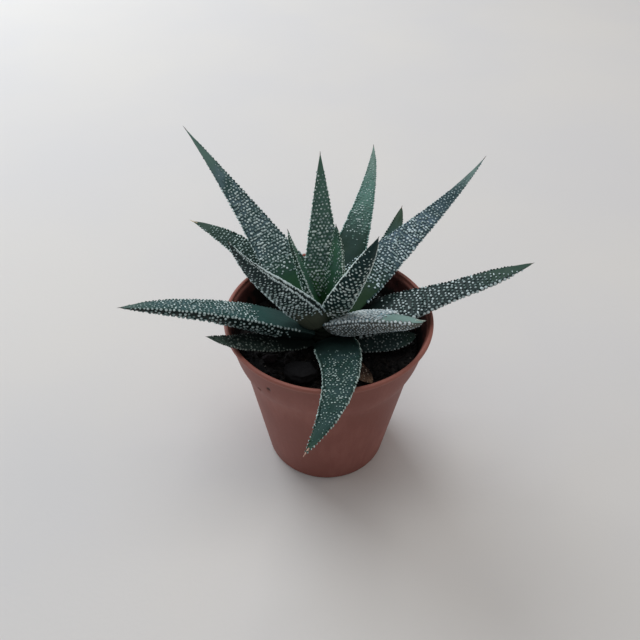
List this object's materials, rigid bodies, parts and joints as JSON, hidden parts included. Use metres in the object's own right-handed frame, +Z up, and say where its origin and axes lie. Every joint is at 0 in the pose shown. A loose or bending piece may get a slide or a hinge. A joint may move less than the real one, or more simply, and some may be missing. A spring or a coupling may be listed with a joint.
{
  "type": "potted haworthia",
  "caption": "Small haworthia rosette with pointed, white-dotted green leaves, rooted in dark soil in a round terracotta-coloured plastic nursery pot with a stepped collar.",
  "frame": {"origin": "middle of the flat underside of the pot", "axes": "+Z up along the pot's axis, -Y towards the side that the front leaf hangs over, +X to the right seen from that side"},
  "size_m": [0.1011, 0.1111, 0.0927],
  "materials": {
    "pot": "matte terracotta-coloured injection-moulded plastic, faintly mottled, lightly soiled at the rim",
    "soil": "dark moist peat-based potting mix with fibres and grit",
    "stem": "short fibrous green-brown stem",
    "leaf": "firm dark blue-green succulent leaf with raised white dots in rows, beaded edges and a cream point",
    "dry_leaf": "dried brown leaf with pale dots",
    "charcoal": "rough dark charcoal",
    "bark": "dark bark crumb"
  },
  "bodies": {
    "root": {"pot": "pot", "soil": "soil", "stem": "stem", "leaf_back_left": "leaf", "leaf_back_left_low": "leaf", "leaf_inner_left": "leaf", "leaf_bud_left": "leaf", "leaf_centre_back": "leaf", "leaf_bud_right": "leaf", "leaf_back": "leaf", "leaf_back_right_low": "leaf", "leaf_inner_right": "leaf", "leaf_back_right": "leaf", "leaf_right": "leaf", "leaf_front_right_short": "leaf", "leaf_front": "leaf", "leaf_left": "leaf", "leaf_front_left_low": "leaf", "leaf_right_low": "leaf", "leaf_dry": "dry_leaf", "charcoal_lump": "charcoal", "bark_bit_left": "bark", "bark_bit_front": "bark", "bark_bit_back": "bark"}
  },
  "joints": []
}
